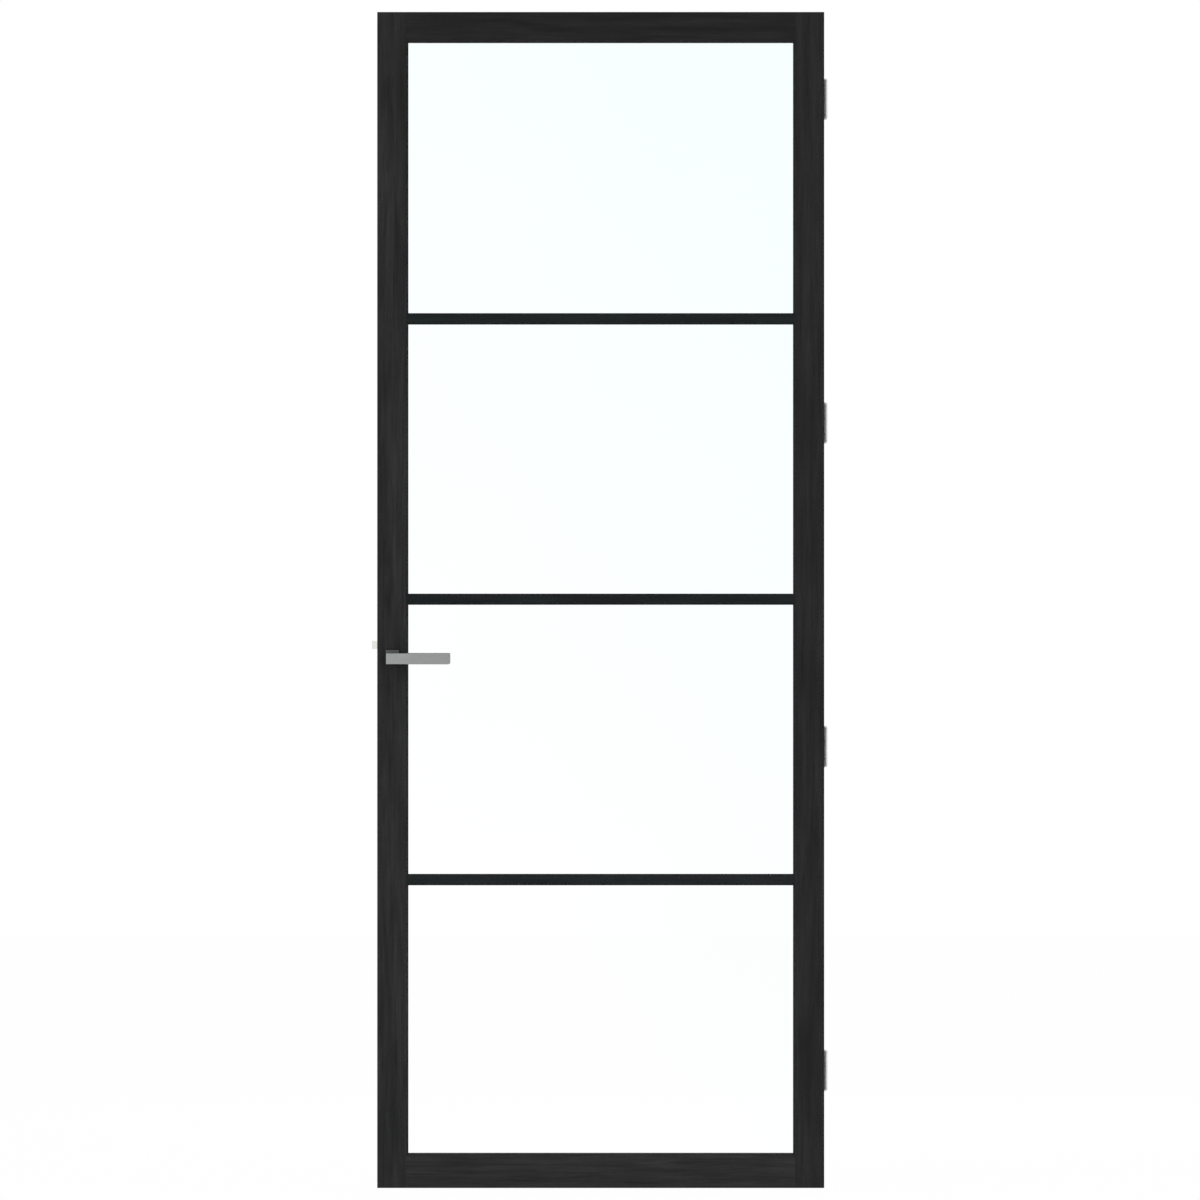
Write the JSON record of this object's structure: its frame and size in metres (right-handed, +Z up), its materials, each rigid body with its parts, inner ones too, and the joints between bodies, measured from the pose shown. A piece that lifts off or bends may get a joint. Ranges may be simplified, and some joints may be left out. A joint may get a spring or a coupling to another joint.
{
  "type": "interior door",
  "caption": "Flush black interior door leaf with slim frame, horizontal glazing bars, clear glass panes, bevelled latch, satin bar levers and butt hinges.",
  "frame": {"origin": "middle of the leaf's bottom edge, in the middle of its thickness", "axes": "+X across the leaf towards the hinges, +Y away from the push side, +Z up"},
  "size_m": [0.898, 0.144, 2.315],
  "materials": {
    "wood_black": "black open-grain lacquer, matt",
    "glass_clear": "clear toughened glass",
    "dowel_beech": "bare beech",
    "tape_black": "closed-cell glazing tape",
    "block_plastic": "hard plastic setting block",
    "steel_satin": "satin stainless steel",
    "bolt_nickel": "bright nickel plated",
    "case_steel": "zinc plated steel",
    "spring_steel": "plain steel",
    "nylon_grey": "nylon",
    "hinge_steel": "satin stainless steel",
    "steel_rose": "satin stainless steel, darker"
  },
  "bodies": {
    "jamb_plates": {"hinge_jamb_leaf_1": "hinge_steel", "hinge_jamb_leaf_2": "hinge_steel", "hinge_jamb_leaf_3": "hinge_steel", "hinge_jamb_leaf_4": "hinge_steel", "hinge_pin_1": "hinge_steel", "hinge_pin_2": "hinge_steel", "hinge_pin_3": "hinge_steel", "hinge_pin_4": "hinge_steel", "hinge_washers": "nylon_grey"},
    "door_leaf": {"lock_stile": "wood_black", "hinge_stile": "wood_black", "top_rail": "wood_black", "bottom_rail": "wood_black", "glazing_bar_1": "wood_black", "glazing_bar_2": "wood_black", "glazing_bar_3": "wood_black", "joint_dowels": "dowel_beech", "glass_pane_1": "glass_clear", "glass_pane_2": "glass_clear", "glass_pane_3": "glass_clear", "glass_pane_4": "glass_clear", "glazing_tapes": "tape_black", "setting_blocks": "block_plastic", "bead_top_1": "wood_black", "bead_bottom_1": "wood_black", "bead_left_1": "wood_black", "bead_right_1": "wood_black", "bead_top_2": "wood_black", "bead_bottom_2": "wood_black", "bead_left_2": "wood_black", "bead_right_2": "wood_black", "bead_top_3": "wood_black", "bead_bottom_3": "wood_black", "bead_left_3": "wood_black", "bead_right_3": "wood_black", "bead_top_4": "wood_black", "bead_bottom_4": "wood_black", "bead_left_4": "wood_black", "bead_right_4": "wood_black", "lock_forend": "steel_satin", "lock_case": "case_steel", "lock_cover": "case_steel", "latch_spring": "spring_steel", "follower_spring": "spring_steel", "forend_screws": "steel_satin", "rose_front": "steel_rose", "rose_back": "steel_rose", "rose_bases": "nylon_grey", "rose_screws": "spring_steel", "hinge_screws": "hinge_steel", "hinge_door_leaf_1": "hinge_steel", "hinge_door_leaf_2": "hinge_steel", "hinge_door_leaf_3": "hinge_steel", "hinge_door_leaf_4": "hinge_steel"},
    "levers": {"lever_front": "steel_satin", "lever_back": "steel_satin", "spindle": "spring_steel", "follower": "case_steel", "lever_grub_screws": "spring_steel"},
    "latch": {"latch_bolt": "bolt_nickel"}
  },
  "joints": [
    {"name": "door_swing", "type": "hinge", "parent": "jamb_plates", "child": "door_leaf", "pos_m": [0.4415, 0.026, 1.15], "axis": [0, 0, -1], "range_deg": [0, 170]},
    {"name": "lever_turn", "type": "hinge", "parent": "door_leaf", "child": "levers", "pos_m": [-0.41, 0, 1.045], "axis": [0, 1, 0], "range_deg": [0, 40], "stiffness_Nm_per_rad": 2, "springref_deg": -20.05},
    {"name": "latch_slide", "type": "slide", "parent": "door_leaf", "child": "latch", "axis": [1, 0, 0], "range_m": [0, 0.011], "deforming": ["latch_spring"]}
  ],
  "couplings": [
    {"joint": "latch_slide", "follows": "lever_turn", "m_per_rad": 0.015756}
  ]
}
